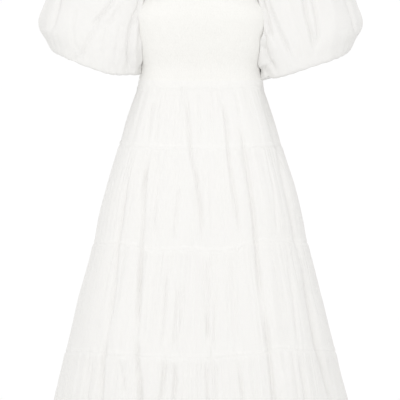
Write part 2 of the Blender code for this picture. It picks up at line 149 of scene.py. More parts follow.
# Rows of the second and third seams along the front by pixel of the photograph, stepping at the deepest folds
Seam = namedtuple("Seam", "line path")
SEAM_ROWS = (
    Seam(2, ((97, 243.5), (120, 245), (139, 247), (143, 249.5), (160, 251), (185, 250.5), (202, 252),
             (220, 251.5), (238, 250), (244, 245.5), (256, 243.5), (270, 242), (297, 243))),
    Seam(3, ((68, 352), (85, 352.5), (103, 354), (107, 356), (135, 356), (139, 357.8), (160, 357.5),
             (173, 359), (180, 357.5), (205, 358.5), (232, 357.5), (245, 356), (264, 354.5), (271, 350),
             (280, 348.5), (300, 351), (318, 351.5))),
)
# How far the seams waver, in long and short waves, and where the rows and the waver fade near the side seams
SEAM_WAVER = 0.0010
LONG_WAVER = 0.028
SHORT_WAVER = 0.009
ROW_FADE = 0.25
WAVER_FADE = 0.1
# A crease fades over a share of its length at either end, to a share of its depth
CREASE_START = 0.18
CREASE_END = 0.22
CREASE_TIP = 0.15
# A crease deeper than SHALLOW lies in a soft hollow: its share of the depth, and how much wider it is
SHALLOW = 0.0035
SOFT_FOLD = 0.35
SOFT_SPREAD = 3.6

# Folds of the back, which the photograph does not show: angles at the waist and at the hem, where they start
# and are full as shares of the drop, and depth
Fold = namedtuple("Fold", "waist_deg hem_deg starts full depth")
BACK_FOLDS = (
    Fold(104, 112, 0.15, 0.60, 0.0060),
    Fold(121, 130, 0.10, 0.50, 0.0085),
    Fold(142, 147, 0.35, 0.75, 0.0055),
    Fold(160, 165, 0.08, 0.50, 0.0080),
    Fold(177, 179, 0.40, 0.80, 0.0055),
    Fold(193, 196, 0.06, 0.45, 0.0075),
    Fold(212, 215, 0.30, 0.70, 0.0060),
    Fold(231, 228, 0.10, 0.50, 0.0085),
    Fold(252, 246, 0.20, 0.70, 0.0055),
)
FOLD_HALF_WIDTH = 0.0052
FOLD_WANDER = 0.012
FOLD_WANDER_LENGTH = 0.07

# Gathers under a seam: size, spacing and how far down they run, finest first
Gather = namedtuple("Gather", "size pitch reach")
SKIRT_GATHERS = (
    Gather(size=0.0008, pitch=0.0055, reach=0.40),
    Gather(size=0.0015, pitch=0.0110, reach=0.45),
    Gather(size=0.0019, pitch=0.0230, reach=0.60),
)
GATHER_FALL = 1.6
# Mean heights of rows of ridges, which are taken off so that gathers and puckers leave the surface in place
GATHER_LEVEL = 0.62
PUCKER_LEVEL = 0.5

# Cloth at a seam: pinned just below it, puffed out under it, let go above the next, and doubled in a band
PINNED = 0.0025
Release = namedtuple("Release", "share reach")
RELEASES = (Release(0.85, 0.012), Release(0.15, 0.002))
PUFF_SIZE = 0.0012
PUFF_DROP = 0.007
FIRST_PUFF = 0.4
SEAM_BAND = 0.0095
BAND_EDGE = 0.0016
BAND_FOOT = 0.004
BAND_LIFT = 0.0007
BAND_PUCKER = 0.0011
PUCKER_PITCH = 0.0085
HEM_BAND = 0.012
HEM_EDGE = 0.001
HEM_LIFT = 0.0005
TUCK = 0.0025
TUCK_DEPTHS = (0.0029, 0.0003, 0.0003, 0.0003)
TUCK_FADES = (0.012, 0.003, 0.003, 0.003)

# Soft swells between the seams, and how near to a side seam all relief dies out
SWELL_SIZE = 0.0016
SWELL_ACROSS = 0.045
SWELL_DOWN = 0.075
SIDE_SEAM_CALM = 0.012
SIDE_SEAM_REACH = 0.0006

# Mesh of a tier: pitch of the columns, and of the rows in the tuck, under the seam, below and in the band
SKIRT_COLUMN = 0.0019
UNDER_SEAM = 0.009
SKIRT_ROWS = (0.0013, 0.0018, 0.0032, 0.0016)
RIM = 0.0008

# Right sleeve, as in the solids apart from the inner points and the lap over the bodice
Section = namedtuple("Section", "outer_x outer_z inner_x inner_z half_depth lap sag tip left_lift")
SLEEVE_SECTIONS = (
    Section(0.1520, 0.0060, 0.1700, -0.1930, 0.076, 0.020, 0.000, 0.000, 0.000),
    Section(0.1850, 0.0180, 0.1660, -0.2060, 0.090, 0.052, 0.000, 0.000, 0.000),
    Section(0.2320, 0.0060, 0.1560, -0.2260, 0.098, 0.064, 0.002, 0.001, 0.000),
    Section(0.2800, -0.0400, 0.1420, -0.2520, 0.103, 0.062, 0.004, 0.002, 0.001),
    Section(0.3140, -0.1050, 0.1230, -0.2790, 0.105, 0.053, 0.006, 0.003, 0.003),
    Section(0.3340, -0.1780, 0.1060, -0.3030, 0.105, 0.040, 0.008, 0.005, 0.006),
    Section(0.3500, -0.2320, 0.1110, -0.3250, 0.103, 0.028, 0.010, 0.007, 0.010),
    Section(0.3320, -0.2670, 0.1200, -0.3420, 0.099, 0.017, 0.012, 0.009, 0.014),
    Section(0.3170, -0.2910, 0.1200, -0.3530, 0.093, 0.008, 0.013, 0.010, 0.016),
    Section(0.2980, -0.2890, 0.1430, -0.3470, 0.078, 0.002, 0.008, 0.008, 0.012),
)
SQUARENESS_OUTSIDE = 2.5
SQUARENESS_INSIDE = 2.0
# How far the front droops on each side, and where across a section the left one is lifted
LEFT_DROOP = 0.75
RIGHT_DROOP = 0.5
LIFT_START = 0.1
SLEEVE_STAND = 0.0045
BODICE_CLEARANCE = 0.0018
CUFF_CENTRE = (0.232, -0.300)
CUFF_TILT = math.radians(18)
CUFF_RADIUS = 0.0505
CUFF_WIDTH = 0.020
Turn = namedtuple("Turn", "above_cuff radius")
CUFF_TURNS = (Turn(-0.010, 0.066), Turn(0.008, 0.064), Turn(0.016, 0.059), Turn(0.013, 0.053))

# Gathers round a sleeve's ends: size, count and reach along the sleeve
Pleat = namedtuple("Pleat", "size count reach")
SLEEVE_GATHERS = (Pleat(0.0016, 58, 0.030), Pleat(0.0034, 30, 0.080))
TAIL_SIZE = 0.9
TAIL_REACH = 1.1
TAIL_START = 0.02
SLEEVE_GATHER_FALL = 1.5
# Swells of a sleeve: size, first seed, count round it and length along it
Swell = namedtuple("Swell", "size seed count length")
SLEEVE_SWELLS = (Swell(0.0020, 20, 7, 0.10), Swell(0.0012, 30, 17, 0.05))
SWELL_TURN = 0.7
# Lengths over which relief fades near the armhole and near the cuff
GATHER_FADES = (0.008, 0.010)
SWELL_FADES = (0.02, 0.03)
CREASE_FADES = (0.03, 0.04)
CREASE_STOP = 0.05
SLEEVE_SEAM = 0.0005
SLEEVE_SHELL = 0.0008
SLEEVE_WEAVE = 2 * math.pi * 0.11
FACING_BLEND = 0.05
SLEEVE_COLUMNS = 340
SLEEVE_ROWS = 150
# The elasticated bands: ridges all round, a soft puff and a groove along the middle
CUFF_RIDGES = 26
CUFF_RIDGE = 0.0011
CUFF_PUFF = 0.0008
CUFF_GROOVE = 0.0006
CUFF_GROOVE_WIDTH = 0.06
CUFF_SHELL = 0.0004
CUFF_WEAVE = 0.32
CUFF_COLUMNS = 300
CUFF_ROWS = 15

# Creases of the sleeves by pixel of the photograph
LEFT_CREASES = (
    Crease(((117, -12), (113, 0), (104, 12), (97, 19), (90, 27)), 0.0050, 1.7),
    Crease(((99, 20), (91, 34), (84, 48), (80, 58)), 0.0036, 2.2),
    Crease(((141, -10), (138.8, 6), (134, 17), (130, 28), (128, 40), (128, 54), (130, 74)), 0.0050, 1.7),
    Crease(((124, 2), (116, 14), (109, 26), (104, 40)), 0.0026, 1.9),
    Crease(((121, 24), (117, 40), (116, 56), (114, 70)), 0.0022, 2.0),
    Crease(((92, 42), (86, 50), (80, 56), (70, 62)), 0.0030, 2.2),
    Crease(((60, -12), (57, 8), (52, 24), (48, 34)), 0.0055, 2.0),
    Crease(((76, 6), (72, 24), (73, 42), (80, 56)), 0.0022, 2.4),
    Crease(((50, -12), (43, 8), (40, 24), (43, 34)), 0.0040, 4.0),
    Crease(((144, -8), (139, 14), (135.5, 30), (134.5, 50), (135, 76)), -0.0050, 2.6),
    Crease(((119, 2), (108, 16), (96, 30)), -0.0030, 2.6),
    Crease(((109, 24), (103, 38), (100, 54)), -0.0030, 2.4),
)
RIGHT_CREASES = (
    Crease(((259, -12), (262, 0), (267, 16), (270, 32), (273, 44)), 0.0065, 1.8),
    Crease(((266, -8), (270, 8), (279, 28), (287, 46), (293, 62)), 0.0045, 1.6),
    Crease(((303, -14), (304, 0), (307, 16), (312, 34), (315, 52)), 0.0065, 1.9),
    Crease(((311, -14), (313, 0), (317.5, 20), (318.5, 36), (316, 52)), 0.0050, 1.8),
    Crease(((345, -12), (350, 4), (355, 20), (356, 34)), 0.0070, 2.2),
    Crease(((354, -12), (358, 6), (361, 22), (358, 34)), 0.0040, 4.0),
    Crease(((262, 30), (264, 46), (268, 60), (276, 73)), 0.0075, 2.2),
    Crease(((261, 66), (266, 74), (270, 82)), 0.0060, 4.5),
    Crease(((296, 30), (300, 46), (300, 62)), 0.0024, 2.2),
    Crease(((286, -8), (290, 14), (298, 36), (303, 56)), -0.0034, 4.0),
    Crease(((264, 8), (268, 30), (276, 56)), -0.0030, 2.6),
    Crease(((330, -6), (334, 16), (334, 40)), -0.0026, 5.0),
)
# The backs of the sleeves, which the photograph does not show, by pixel on the right and shifted on the left
LEFT_BACK_SHIFT = 5
BACK_CREASES = (
    Crease(((262, -14), (268, 8), (272, 34), (276, 62)), 0.0065, 2.0),
    Crease(((282, -10), (288, 16), (292, 44), (290, 66)), 0.0050, 2.0),
    Crease(((300, -16), (306, 10), (314, 34), (318, 54)), 0.0065, 2.1),
    Crease(((322, -12), (330, 12), (336, 34)), 0.0045, 2.1),
    Crease(((272, 0), (280, 26), (284, 56)), -0.0034, 3.4),
    Crease(((312, -6), (322, 18), (328, 46)), -0.0034, 4.0),
)

# Smocking
CELL_WIDTH = 0.0052
CELL_HEIGHT = 0.0054
CELL_RELIEF = 0.0012
ROW_GROOVE = 0.35
PLAIN_EDGE = 0.006
# The plain band at the waist, a little puckered
WAIST_BAND = 0.0125
WAIST_BAND_EDGE = 0.0015
WAIST_BAND_LIFT = 0.0007
WAIST_BAND_PUCKER = 0.0004
WAIST_PUCKER_PITCH = 0.0068
# Mesh and thickness of the bodice, and where the sleeves lie over it
BODICE_COLUMN = 0.0013
BODICE_ROW = 0.0018
CHEST_LENGTH = 0.245
BODICE_SHELL = 0.0016
BODICE_RIM = 0.0010
SLEEVE_COVERS = 0.132
SLEEVE_COVER_EDGE = 0.004
# The step inwards that gives the cloth's direction at the armhole, and the rise below which it points upwards
ARMHOLE_STEP = 0.06
UNDERARM_TIP = 1e-3
TINY = 1e-9

# Cotton: colours, size of a thread, height and stretch of the weave's parts
PLAIN_COLOUR = (0.837, 0.829, 0.811)
# The sleeves' colour is the plain cotton's colour made darker: painted shade for the shade the sleeves lie in
SHADED_SLEEVE_COLOUR = (0.816, 0.808, 0.791)
SMOCKED_COLOUR = (0.849, 0.841, 0.814)
DOUBLED_COLOUR = (0.846, 0.838, 0.820)
THREAD = 0.0007
WAVE_PERIOD = 0.314
WEAVE_HEIGHT = 0.16
SLUB_SCALE = 260
SLUB_STRETCH = 0.06
CRINKLE_SCALE = 75
CRINKLE_STRETCH = 0.09
DARK_SHARE = 0.965
DARK_MIX = 0.42

# Stage
SENSOR_WIDTH = 36
FLOOR_RADIUS = 2.6
FLOOR_GAP = 0.22
FLOOR_COLOUR = (0.88, 0.88, 0.875, 1)
WORLD_STRENGTH = 1.01
KEY_PLACE = (-0.27, -2.5, 0.42)
KEY_AIM = (0, 0, -0.35)
KEY_SIZE = 1.2
KEY_POWER = 13

# Knots of the noise before it repeats. A call of the noise starts with its seed, and lengths in it are metres.
LINE_KNOTS = 1024
PLANE_KNOTS = 256


def ramp(x):
    """A smooth step from 0 to 1."""
    x = np.clip(x, 0, 1)
    return x * x * (3 - 2 * x)


def wander(seed, x, count=LINE_KNOTS):
    """Smooth seeded noise along a line, between -1 and 1, which repeats after count cells."""
    knots = np.random.RandomState(seed).uniform(-1, 1, count)
    cell = np.floor(x).astype(int)
    t = ramp(x - cell)
    return knots[cell % count] * (1 - t) + knots[(cell + 1) % count] * t


def wander2(seed, x, y):
    """Smooth seeded noise over a plane, between -1 and 1."""
    n = PLANE_KNOTS
    knots = np.random.RandomState(seed).uniform(-1, 1, (n, n))
    cx, cy = np.floor(x).astype(int), np.floor(y).astype(int)
    tx, ty = ramp(x - cx), ramp(y - cy)
    low = knots[cx % n, cy % n] * (1 - tx) + knots[(cx + 1) % n, cy % n] * tx
    high = knots[cx % n, (cy + 1) % n] * (1 - tx) + knots[(cx + 1) % n, (cy + 1) % n] * tx
    return low * (1 - ty) + high * ty


def ridges(phase, level):
    """A row of rounded ridges, one to each unit of phase, lowered by level."""
    return np.abs(np.sin(np.pi * phase)) - level


def curve(places, values, at):
    """A smooth curve through a table's values."""
    places, values, at = (np.asarray(a, float) for a in (places, values, at))
    slopes = np.gradient(values, places)
    i = np.clip(np.searchsorted(places, at) - 1, 0, len(places) - 2)
    span = places[i + 1] - places[i]
    t = (at - places[i]) / span
    rise = values[i + 1] - values[i]
    bend_in = slopes[i] * span - rise
    bend_out = rise - slopes[i + 1] * span
    return values[i] + rise * t + t * (1 - t) * (bend_in * (1 - t) + bend_out * t)


def normals_of(points, round_rows=False):
    """Directions out of a grid of points, with its columns round the body and its rows up or down it."""
    if round_rows:
        across = np.roll(points, -1, 1) - np.roll(points, 1, 1)
    else:
        across = np.gradient(points, axis=1)
    normals = np.cross(across, np.gradient(points, axis=0))
    return normals / np.maximum(np.linalg.norm(normals, axis=2, keepdims=True), 1e-12)


def sheet_piece(name, points, uv, material, round_rows=False, keep=None, flip=False, rim=0.0, doubled=None):
    """A mesh from a grid of points, with its weave coordinates in metres.

    keep drops cells, rim turns the edges in, and doubled picks the cells of doubled cloth.
    """
    rows, columns = points.shape[:2]
    index = np.arange(rows * columns).reshape(rows, columns)
    right = np.roll(index, -1, 1) if round_rows else index[:, 1:]
    left = index if round_rows else index[:, :-1]
    quads = np.stack([left[:-1], right[:-1], right[1:], left[1:]], -1)
    slots = np.zeros(quads.shape[:2], dtype=np.int32)
    if doubled is not None:
        slots[doubled] = 1
    if keep is not None:
        quads, slots = quads[keep], slots[keep]
    quads, slots = quads.reshape(-1, 4), slots.ravel()
    if flip:
        quads = quads[:, ::-1]
    used = np.unique(quads)
    renumber = np.full(rows * columns, -1)
    renumber[used] = np.arange(len(used))
    quads = renumber[quads]
    flat = points.reshape(-1, 3)[used]
    coords = uv.reshape(-1, 2)[used]
    mesh = bpy.data.meshes.new(name)
    mesh.from_pydata(flat.tolist(), [], quads.tolist())
    layer = mesh.uv_layers.new(name="weave")
    loops = np.empty(len(mesh.loops), dtype=np.int32)
    mesh.loops.foreach_get("vertex_index", loops)
    loop_uv = coords[loops]
    if round_rows:
        width = coords[:, 0].max()
        per_face = loop_uv.reshape(-1, 4, 2)
        wrap = per_face[:, :, 0].max(1) - per_face[:, :, 0].min(1) > width / 2
        lifted = np.where(per_face[:, :, 0] < width / 2, per_face[:, :, 0] + width, per_face[:, :, 0])
        per_face[wrap, :, 0] = lifted[wrap]
        loop_uv = per_face.reshape(-1, 2)
    layer.data.foreach_set("uv", loop_uv.ravel())
    mesh.materials.append(material)
    if doubled is not None:
        mesh.materials.append(doubled_cotton)
        mesh.polygons.foreach_set("material_index", slots)
    if rim:
        add_rim(mesh, rim)
    mesh.polygons.foreach_set("use_smooth", np.ones(len(mesh.polygons), dtype=bool))
    piece = bpy.data.objects.new(name, mesh)
    bpy.context.scene.collection.objects.link(piece)
    return piece


def add_rim(mesh, rim):
    """Turns a sheet's open edges inwards, apart from the sewn ones, to show the cloth's thickness."""
    bm = bmesh.new()
    bm.from_mesh(mesh)
    bm.normal_update()
    inward = {v: -v.normal * rim for v in bm.verts if v.is_boundary}
    open_edges = [e for e in bm.edges if e.is_boundary]
    loose = [e for e in open_edges if max(abs(v.co.y) for v in e.verts) > SIDE_SEAM_REACH]
    turned = [e for e in loose if min(abs(v.co.z - WAIST_Z) for v in e.verts) > WAIST_BAND]
    made = bmesh.ops.extrude_edge_only(bm, edges=turned)
    for v in (g for g in made["geom"] if isinstance(g, bmesh.types.BMVert)):
        for e in v.link_edges:
            other = e.other_vert(v)
            if other in inward:
                v.co = v.co + inward[other]
                break
    bm.to_mesh(mesh)
    bm.free()


# Materials


def cotton(name, colour, slub, crinkle):
    """Matte cotton: a plain weave, uneven threads, soft crinkles and a slight sheen."""
    material = bpy.data.materials.new(name)
    material.use_nodes = True
    nodes, links = material.node_tree.nodes, material.node_tree.links
    shader = nodes["Principled BSDF"]
    shader.inputs["Roughness"].default_value = 0.88
    shader.inputs["Specular IOR Level"].default_value = 0.22
    shader.inputs["Sheen Weight"].default_value = 0.12
    shader.inputs["Sheen Roughness"].default_value = 0.5
    place = nodes.new("ShaderNodeUVMap")
    place.uv_map = "weave"

    def wave(direction):
        node = nodes.new("ShaderNodeTexWave")
        node.bands_direction = direction
        node.inputs["Scale"].default_value = WAVE_PERIOD / THREAD
        node.inputs["Distortion"].default_value = 0.6
        node.inputs["Detail"].default_value = 1.0
        node.inputs["Detail Scale"].default_value = 0.15
        links.new(place.outputs["UV"], node.inputs["Vector"])
        return node.outputs["Fac"]

    def noise(scale, stretch, detail):
        mapping = nodes.new("ShaderNodeMapping")
        mapping.inputs["Scale"].default_value = stretch
        node = nodes.new("ShaderNodeTexNoise")
        node.inputs["Scale"].default_value = scale
        node.inputs["Detail"].default_value = detail
        links.new(place.outputs["UV"], mapping.inputs["Vector"])
        links.new(mapping.outputs["Vector"], node.inputs["Vector"])
        return node.outputs["Fac"]

    def maths(operation, a, b):
        node = nodes.new("ShaderNodeMath")
        node.operation = operation
        for socket, value in zip(node.inputs, (a, b)):
            if isinstance(value, float):
                socket.default_value = value
            else:
                links.new(value, socket)
        return node.outputs["Value"]

    warp, weft = wave("X"), wave("Y")
    weave = maths("MAXIMUM", warp, weft)
    slubs_down = noise(SLUB_SCALE, (1, SLUB_STRETCH, 1), 2)
    slubs_across = noise(SLUB_SCALE, (SLUB_STRETCH, 1, 1), 2)
    slubs = maths("ADD", slubs_down, slubs_across)
    crinkles = noise(CRINKLE_SCALE, (1, CRINKLE_STRETCH, 1), 4)
    mix = nodes.new("ShaderNodeMix")
    mix.data_type = "RGBA"
    mix.inputs["A"].default_value = (*[c * DARK_SHARE for c in colour], 1)
    mix.inputs["B"].default_value = (*colour, 1)
    links.new(maths("MULTIPLY", maths("ADD", slubs, weave), DARK_MIX), mix.inputs["Factor"])
    links.new(mix.outputs["Result"], shader.inputs["Base Color"])
    height = maths("ADD", maths("MULTIPLY", weave, THREAD * WEAVE_HEIGHT), maths("MULTIPLY", slubs, slub))
    height = maths("ADD", height, maths("MULTIPLY", crinkles, crinkle))
    bump = nodes.new("ShaderNodeBump")
    bump.inputs["Strength"].default_value = 1.0
    bump.inputs["Distance"].default_value = 1.0
    links.new(height, bump.inputs["Height"])
    links.new(bump.outputs["Normal"], shader.inputs["Normal"])
    material.diffuse_color = (*colour, 1)
    return material


# Skirt


def oval(angle, power):
    """Places across and along a squared oval of half width and depth 1."""
    across, along = np.sin(angle), np.cos(angle)
    stretch = (np.abs(across) ** power + np.abs(along) ** power) ** (-1 / power)
    return across * stretch, along * stretch


def skirt_power(drop):
    """The power of the skirt's oval at each drop below the waist."""
    return 2 + WAIST_SQUARENESS + (HEM_SQUARENESS - WAIST_SQUARENESS) * drop / SKIRT_LINES[-1].drop


def back_folds(angle, drop, share, girth):
    """How far the back's folds draw the skirt in."""
    inset = np.zeros_like(angle)
    for number, fold in enumerate(BACK_FOLDS):
        path = np.radians(fold.waist_deg + (fold.hem_deg - fold.waist_deg) * share)
        path = path + FOLD_WANDER * wander(40 + number, drop / FOLD_WANDER_LENGTH)
        away = (angle - path) * girth / FOLD_HALF_WIDTH
        size = fold.depth * ramp((share - fold.starts) / (fold.full - fold.starts))
        inset += size * (np.exp(-(away**2)) + SOFT_FOLD * np.exp(-((away / SOFT_SPREAD) ** 2)))
    return inset


def front_folds(ring):
    """How far the front's folds, placed by the photograph, draw the skirt in."""
    px, py = photo_place(ring, 1)
    inset = np.zeros_like(px)
    for crease in FRONT_CREASES:
        inset += felt(crease, px, py)
    return inset


def gathers(arc, drop, below_seam, tier):
    """Gathers that run down from a seam, uneven in size, spacing and length."""
    relief = np.zeros_like(arc)
    for number, gather in enumerate(SKIRT_GATHERS):
        seed = 100 + 20 * tier + 5 * number
        place = arc / gather.pitch
        phase = place + 1.1 * wander(seed, place / 2.7) + 0.15 * wander2(seed + 1, place / 3, drop / 0.12)
        size = gather.size * (0.72 + 0.55 * wander(seed + 2, place / 1.7))
        size = size * (0.85 + 0.45 * wander2(seed + 4, place / 1.9, drop / 0.05))
        reach = gather.reach * (0.75 + 0.5 * wander(seed + 3, place / 1.3))
        fall = np.exp(-((below_seam / np.maximum(reach, 0.01)) ** GATHER_FALL))
        relief += ridges(phase, GATHER_LEVEL) * size * fall
    return relief


def seam_lift(line, angle):
    """How much higher one seam runs at each angle than at the centre front."""
    size, facing = SKIRT_LINES[line], np.cos(angle)
    lift = size.side_lift * np.sin(angle) ** 2
    paths = [seam.path for seam in SEAM_ROWS if seam.line == line]
    if paths and facing.mean() > 0:
        across, along = oval(angle, skirt_power(size.drop))
        x, y = size.half_width * across, -size.front * along
        near = CAMERA_DISTANCE / (CAMERA_DISTANCE + y)
        columns, levels = zip(*paths[0])
        row = np.interp(MID_X + x / SCALE * near, columns, levels)
        z = -((row + TOP_ROW - MIDDLE_ROW) / near + MIDDLE_ROW) * SCALE
        share = ramp(facing / ROW_FADE)
        lift = share * (z - (WAIST_Z - size.drop)) + (1 - share) * lift
    if 0 < line < len(SKIRT_LINES) - 1:
        arc = angle * size.half_width
        waver = 0.7 * wander(350 + line, arc / LONG_WAVER) + 0.3 * wander(360 + line, arc / SHORT_WAVER)
        lift = lift + SEAM_WAVER * waver * ramp(np.abs(facing) / WAVER_FADE)
    return lift


def skirt_surface(angle, drop, tier):
    """Points of the skirt at angles from the centre front and drops below the waist, in one tier."""
    drops, half_widths, fronts, backs, _ = zip(*SKIRT_LINES)
    t = np.clip((drop - drops[tier]) / (drops[tier + 1] - drops[tier]), 0, 1)
    below_seam = np.maximum(drop - drops[tier], 0)
    above_seam = drops[tier + 1] - drop
    half_width, front, back = (curve(drops, values, drop) for values in (half_widths, fronts, backs))
    facing = np.cos(angle)
    depth = np.where(facing > 0, front, back)
    swell = TIER_SWELLS[tier] * np.sin(np.pi * t)
    half_width, depth = half_width + swell, depth + swell
    lift = seam_lift(tier, angle) * (1 - t) + seam_lift(tier + 1, angle) * t
    power = skirt_power(np.maximum(drop, 0))
    across, along = oval(angle, power)
    slope_x, slope_y = (np.sign(v) * np.abs(v) ** (power - 1) for v in (across, along))
    normal = np.stack([slope_x / half_width, -slope_y / depth, np.zeros_like(angle)], -1)
    normal /= np.linalg.norm(normal, axis=-1, keepdims=True)
    girth = (half_width + depth) / 2
    ring = np.stack([half_width * across, -depth * along, WAIST_Z - drop + lift], -1)
    if facing.mean() > 0:
        out = -front_folds(ring)
    else:
        out = -back_folds(angle, drop, drop / drops[-1], girth)
    arc = angle * SKIRT_LINES[tier].half_width
    pinned = 1 - np.exp(-((below_seam / PINNED) ** 2))
    let_go = 1.0
    for release in RELEASES:
        let_go = let_go - release.share * np.exp(-((above_seam / release.reach) ** 2))
    out += gathers(arc, drop, below_seam, tier) * pinned * let_go
    puff = below_seam / PUFF_DROP
    out += PUFF_SIZE * puff * np.exp(1 - puff) * (1 if tier else FIRST_PUFF)
    out += SWELL_SIZE * wander2(300 + tier, arc / SWELL_ACROSS, drop / SWELL_DOWN) * np.sin(np.pi * t)
    out *= ramp(np.abs(facing) * girth / SIDE_SEAM_CALM)
    out += TUCK_DEPTHS[tier] * (1 - ramp((drop - drops[tier]) / TUCK_FADES[tier]))
    if tier < len(TIER_NAMES) - 1:
        band = ramp((SEAM_BAND - above_seam) / BAND_EDGE + 0.5)
        pucker = ridges(arc / PUCKER_PITCH + 0.9 * wander(340 + tier, arc / 0.02), PUCKER_LEVEL)
        uneven = np.clip(0.45 + 1.3 * wander(345 + tier, arc / 0.013), 0, 1.5)
        out += band * ramp(above_seam / BAND_FOOT) * uneven * (BAND_LIFT + BAND_PUCKER * pucker)
    else:
        out += HEM_LIFT * ramp((HEM_BAND - above_seam) / HEM_EDGE + 0.5)
    return ring + normal * out[..., None]


def skirt_piece(tier, part, start, end, material):
    """Half of one tier, tucked behind the seam above it, with the flat size of its cloth."""
    top, bottom = SKIRT_LINES[tier], SKIRT_LINES[tier + 1]
    columns = int(math.pi / 2 * (bottom.half_width + bottom.front) / SKIRT_COLUMN)
    hem = tier == len(TIER_NAMES) - 1
    last_band = HEM_BAND if hem else SEAM_BAND
    stops = (top.drop - TUCK, top.drop, top.drop + UNDER_SEAM, bottom.drop - last_band, bottom.drop)
    heights = [stops[0]]
    for low, high, pitch in zip(stops, stops[1:], SKIRT_ROWS):
        heights += list(np.linspace(low, high, max(2, round((high - low) / pitch)) + 1)[1:])
    heights = np.array(heights)
    angles = np.radians(np.linspace(start, end, columns + 1))
    drop, angle = np.meshgrid(heights, angles, indexing="ij")
    points = skirt_surface(angle, drop, tier)
    cut = float(np.linalg.norm(np.diff(points, axis=1), axis=2).sum(1).max())
    uv = np.stack([(angle - angles[0]) / (angles[-1] - angles[0]) * cut, drop], -1)
    doubled = (heights[1:] > bottom.drop - last_band + 1e-6)[:, None] & np.ones((1, columns), bool)
    node = f"{TIER_NAMES[tier]}_{part}"
    rim = RIM if hem else 0.0
    piece = sheet_piece(f"{node}_cloth", points, uv, material, flip=True, rim=rim, doubled=doubled)
    return finish_piece(piece, node)


def finish_piece(piece, node):
    """Parents a piece to the root body and hides the solid that it stands for."""
    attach(piece, "root")
    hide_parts(node)
    return piece


# Bodice


def torso(z):
    """Half width, front depth and back depth of the figure at each height."""
    table = sorted(TORSO)
    return [curve([g.z for g in table], [g[k] for g in table], z) for k in (1, 2, 3)]


def squareness(z):
    """The power of the torso's oval, which is squarer below the chest."""
    return 2 + WAIST_SQUARENESS * ramp((UNDERARM_Z - z) / 0.05)


def armhole_x(rise):
    """How far out the armhole's edge lies at each rise, widest under the arm and at the shoulder."""
    low, high = float(torso(UNDERARM_Z)[0]) - ARMHOLE_X, SHOULDER_TIP_X - ARMHOLE_X
    return ARMHOLE_X + low * (1 - rise) ** ARMHOLE_POWER + high * rise**ARMHOLE_POWER


def lower_points(angle, z, face):
    """The bodice below the underarm."""
    half_width, front, back = torso(z)
    depth = front if face < 0 else back
    lift = SKIRT_LINES[0].side_lift * (UNDERARM_Z - z) / (UNDERARM_Z - WAIST_Z)
    across, along = oval(angle, squareness(z))
    return np.stack([half_width * across, face * depth * along, z + lift * np.sin(angle) ** 2], -1)


def chest_points(angle, rise, face):
    """The bodice from the underarm to the shoulder seams, leaning back over the shoulders."""
    half_width, front, back = (float(v) for v in torso(UNDERARM_Z))
    depth = front if face < 0 else back
    x = armhole_x(rise) * np.sin(angle)
    y = face * depth * np.sqrt(np.maximum(0, 1 - (x / half_width) ** 2))
    turn = rise * math.pi / 2
    neck_x = SHOULDER_TIP_X * math.sin(STRAP_INNER_ANGLE)
    shoulder_z = -SHOULDER_DROP * np.maximum(0, np.abs(x) - neck_x)
    y = SHOULDER_SEAM_Y * (1 - np.cos(turn)) + y * np.cos(turn)
    return np.stack([x, y, UNDERARM_Z + (shoulder_z - UNDERARM_Z) * np.sin(turn)], -1)


def smocking(u, v):
    """Honeycomb smocking: rows of small puffs, each row set between the puffs of the next."""
    x = u / CELL_WIDTH + 0.22 * wander2(410, u / 0.03, v / 0.02)
    y = v / CELL_HEIGHT + 0.12 * wander2(411, u / 0.05, v / 0.03)
    puffs = 0.5 + 0.5 * np.cos(2 * np.pi * x) * np.cos(np.pi * y)
    rows = 1 - ROW_GROOVE * np.cos(np.pi * y) ** 8
    return puffs**0.8 * rows * (0.9 + 0.2 * wander2(412, u / 0.008, v / 0.006))


